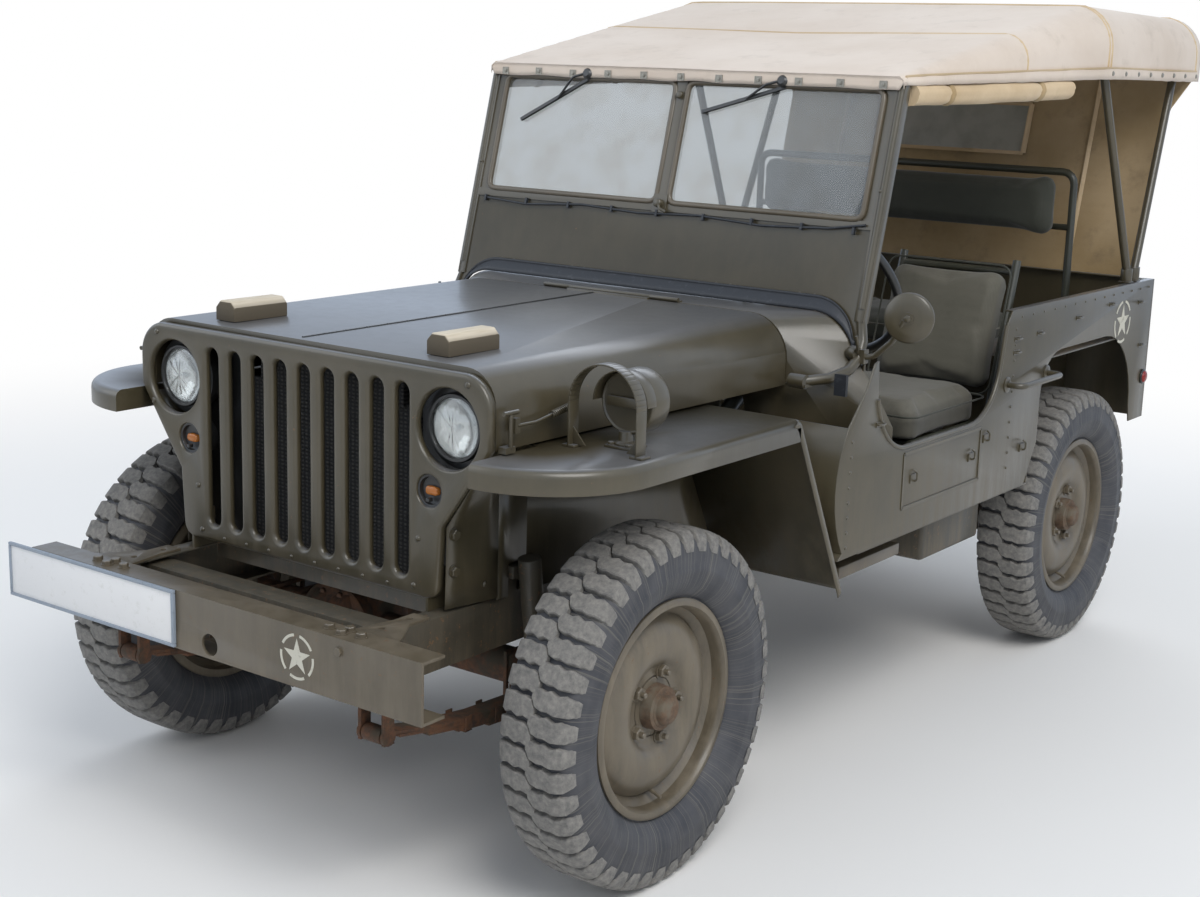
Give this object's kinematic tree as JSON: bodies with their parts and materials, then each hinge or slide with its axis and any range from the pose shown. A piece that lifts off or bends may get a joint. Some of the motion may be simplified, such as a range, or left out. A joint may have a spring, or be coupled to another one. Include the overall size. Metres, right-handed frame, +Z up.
{
  "type": "open army 4x4 car",
  "caption": "Small open four-wheel-drive army car with slotted grille, flat fenders, two-pane windshield, canvas top and rear-mounted spare wheel.",
  "frame": {"origin": "on the ground under the middle of the car's overall length, on its middle plane", "axes": "+Z up, the front faces -Y, +X is the vehicle's left side"},
  "size_m": [1.5573, 3.258, 1.775],
  "materials": {
    "olive_paint": "satin brown-olive drab paint, sun-faded and dusty",
    "chassis_paint": "matt olive chassis paint with dried mud",
    "rusty_steel": "cast and forged steel with rust and old paint",
    "cast_block": "painted cast iron",
    "radiator_black": "matt black fins",
    "plate_white": "blank white enamel with a grey-blue rim",
    "lamp_glass": "clear ribbed lens over a bright reflector",
    "pane_glass": "flat windshield glass",
    "ash_wood": "bare worn wood",
    "wheel_black": "black hard rubber rim on painted spokes",
    "seat_canvas": "dark green-grey canvas",
    "top_canvas": "pale beige canvas, weathered",
    "tyre_rubber": "aged bluish-black rubber with bar tread"
  },
  "bodies": {
    "chassis": {"frame": "chassis_paint", "front_bumper": "olive_paint", "number_plate": "plate_white", "front_axle": "rusty_steel", "rear_axle": "rusty_steel", "leaf_springs": "rusty_steel", "shock_absorbers": "chassis_paint", "engine": "cast_block", "gearbox": "cast_block", "prop_shafts": "chassis_paint", "exhaust": "rusty_steel", "fuel_tank": "chassis_paint", "radiator": "radiator_black", "grille": "olive_paint", "headlamps": "lamp_glass", "marker_lamps": "olive_paint", "blackout_lamp": "olive_paint", "fenders": "olive_paint", "cowl": "olive_paint", "floor": "chassis_paint", "side_panels": "olive_paint", "rear_panel": "olive_paint", "side_steps": "olive_paint", "grab_handles": "olive_paint", "windshield_frame": "olive_paint", "windshield_glass": "pane_glass", "rear_view_mirror": "olive_paint", "steering_column": "chassis_paint", "driver_seat_frame": "olive_paint", "driver_cushions": "seat_canvas", "rear_seat_frame": "olive_paint", "rear_cushions": "seat_canvas", "top_bows": "olive_paint", "canvas_top": "top_canvas", "curtain_roll": "top_canvas", "bumperettes": "olive_paint", "tow_hook": "chassis_paint", "spare_tyre": "tyre_rubber", "spare_rim": "olive_paint"},
    "hood": {"hood": "olive_paint", "hood_blocks": "ash_wood"},
    "passenger_seat": {"passenger_seat_frame": "olive_paint", "passenger_cushions": "seat_canvas"},
    "steering_wheel": {"steering_wheel": "wheel_black"},
    "left_knuckle": {"left_knuckle": "rusty_steel"},
    "right_knuckle": {"right_knuckle": "rusty_steel"},
    "tie_rod": {"tie_rod": "chassis_paint"},
    "front_left_wheel": {"front_left_tyre": "tyre_rubber", "front_left_rim": "olive_paint"},
    "front_right_wheel": {"front_right_tyre": "tyre_rubber", "front_right_rim": "olive_paint"},
    "rear_left_wheel": {"rear_left_tyre": "tyre_rubber", "rear_left_rim": "olive_paint"},
    "rear_right_wheel": {"rear_right_tyre": "tyre_rubber", "rear_right_rim": "olive_paint"}
  },
  "joints": [
    {"name": "hood_hinge", "type": "hinge", "parent": "chassis", "child": "hood", "pos_m": [0, -0.373, 1.051], "axis": [-1, 0, 0], "range_deg": [0, 110]},
    {"name": "left_steer", "type": "hinge", "parent": "chassis", "child": "left_knuckle", "pos_m": [0.505, -1.066, 0.36], "axis": [0, 0, 1], "range_deg": [-27, 27]},
    {"name": "right_steer", "type": "hinge", "parent": "chassis", "child": "right_knuckle", "pos_m": [-0.505, -1.066, 0.36], "axis": [0, 0, 1], "range_deg": [-27, 27]},
    {"name": "tie_rod_pivot", "type": "hinge", "parent": "left_knuckle", "child": "tie_rod", "pos_m": [0.505, -0.926, 0.425], "axis": [0, 0, 1], "range_deg": [-27, 27]},
    {"name": "steering_wheel_turn", "type": "hinge", "parent": "chassis", "child": "steering_wheel", "pos_m": [0.358, -0.701, 0.6], "axis": [0, 0.829, 0.5592], "range_deg": [-380, 380]},
    {"name": "front_left_roll", "type": "hinge", "parent": "left_knuckle", "child": "front_left_wheel", "pos_m": [0.6225, -1.066, 0.36], "axis": [1, 0, 0], "continuous": true},
    {"name": "front_right_roll", "type": "hinge", "parent": "right_knuckle", "child": "front_right_wheel", "pos_m": [-0.6225, -1.066, 0.36], "axis": [1, 0, 0], "continuous": true},
    {"name": "rear_left_roll", "type": "hinge", "parent": "chassis", "child": "rear_left_wheel", "pos_m": [0.6225, 0.966, 0.36], "axis": [1, 0, 0], "continuous": true},
    {"name": "rear_right_roll", "type": "hinge", "parent": "chassis", "child": "rear_right_wheel", "pos_m": [-0.6225, 0.966, 0.36], "axis": [1, 0, 0], "continuous": true},
    {"name": "passenger_seat_tip", "type": "hinge", "parent": "chassis", "child": "passenger_seat", "pos_m": [-0.445, 0.029, 0.566], "axis": [1, 0, 0], "range_deg": [0, 45]}
  ],
  "couplings": [
    {"joint": "right_steer", "follows": "left_steer", "ratio": 1},
    {"joint": "tie_rod_pivot", "follows": "left_steer", "ratio": -1},
    {"joint": "steering_wheel_turn", "follows": "left_steer", "ratio": 14}
  ]
}
